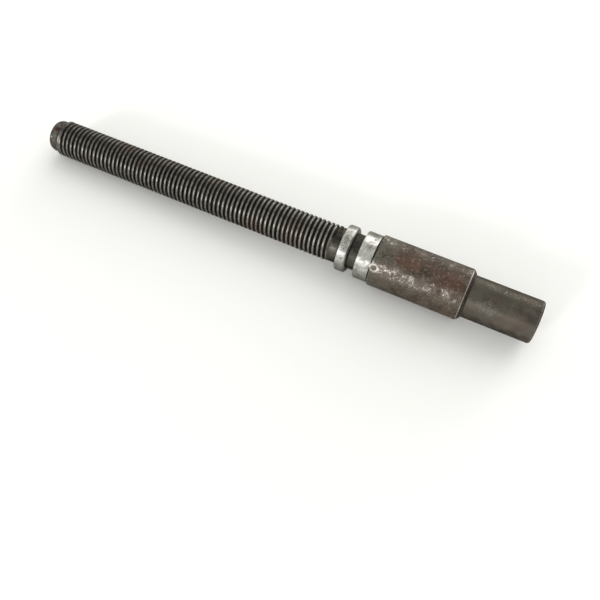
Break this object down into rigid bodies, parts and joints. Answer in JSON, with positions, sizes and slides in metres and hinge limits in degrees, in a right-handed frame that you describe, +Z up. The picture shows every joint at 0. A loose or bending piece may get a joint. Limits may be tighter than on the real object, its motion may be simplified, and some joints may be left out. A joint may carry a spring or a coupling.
{
  "type": "ball screw assembly",
  "caption": "Ball screw spindle with a long right-hand thread, thrust collar, sealed bearing cartridge and a keyed drive sleeve at one end.",
  "frame": {"origin": "on the screw's axis, halfway between the tip's end face and the drive sleeve's end face", "axes": "+X along the screw from the plain tip to the drive end, +Z up, +Y across"},
  "size_m": [0.557, 0.054, 0.054],
  "materials": {
    "threaded_steel": "dark oxidised steel, worn bright on the thread's lands",
    "ground_steel": "bright ground steel with a few pits",
    "oxidised_steel": "mill scale and light rust, scratched bright along one band",
    "sleeve_steel": "smooth dark scale with faint rust patches",
    "dark_steel": "black oxide, smooth",
    "bearing_steel": "polished bearing steel",
    "cage_brass": "machined brass",
    "seal_rubber": "matt black nitrile rubber",
    "fastener_steel": "black oxide fastener steel"
  },
  "bodies": {
    "housing": {"bearing_housing": "oxidised_steel", "front_cover": "ground_steel", "cover_lock_screw": "fastener_steel", "front_seal": "seal_rubber", "rear_o_ring": "seal_rubber", "preload_shim": "bearing_steel", "front_outer_ring": "bearing_steel", "outer_spacer": "dark_steel", "rear_outer_ring": "bearing_steel"},
    "screw": {"screw_shaft": "threaded_steel", "thrust_collar": "ground_steel", "seal_sleeve": "dark_steel", "front_inner_ring": "bearing_steel", "inner_spacer": "dark_steel", "rear_inner_ring": "bearing_steel", "lock_washer": "fastener_steel", "lock_nut": "fastener_steel", "drive_sleeve": "sleeve_steel", "drive_key": "dark_steel", "end_washer": "fastener_steel", "end_screw": "fastener_steel"},
    "front_ball_train": {"front_cage": "cage_brass", "front_ball_1": "bearing_steel", "front_ball_2": "bearing_steel", "front_ball_3": "bearing_steel", "front_ball_4": "bearing_steel", "front_ball_5": "bearing_steel", "front_ball_6": "bearing_steel", "front_ball_7": "bearing_steel", "front_ball_8": "bearing_steel", "front_ball_9": "bearing_steel"},
    "rear_ball_train": {"rear_cage": "cage_brass", "rear_ball_1": "bearing_steel", "rear_ball_2": "bearing_steel", "rear_ball_3": "bearing_steel", "rear_ball_4": "bearing_steel", "rear_ball_5": "bearing_steel", "rear_ball_6": "bearing_steel", "rear_ball_7": "bearing_steel", "rear_ball_8": "bearing_steel", "rear_ball_9": "bearing_steel"}
  },
  "joints": [
    {"name": "screw_spin", "type": "hinge", "parent": "housing", "child": "screw", "pos_m": [0, 0, 0], "axis": [1, 0, 0], "continuous": true},
    {"name": "front_cage_spin", "type": "hinge", "parent": "housing", "child": "front_ball_train", "pos_m": [0.1291, 0, 0], "axis": [1, 0, 0], "continuous": true},
    {"name": "rear_cage_spin", "type": "hinge", "parent": "housing", "child": "rear_ball_train", "pos_m": [0.1497, 0, 0], "axis": [1, 0, 0], "continuous": true}
  ],
  "couplings": [
    {"joint": "front_cage_spin", "follows": "screw_spin", "ratio": 0.4118},
    {"joint": "rear_cage_spin", "follows": "screw_spin", "ratio": 0.4118}
  ]
}
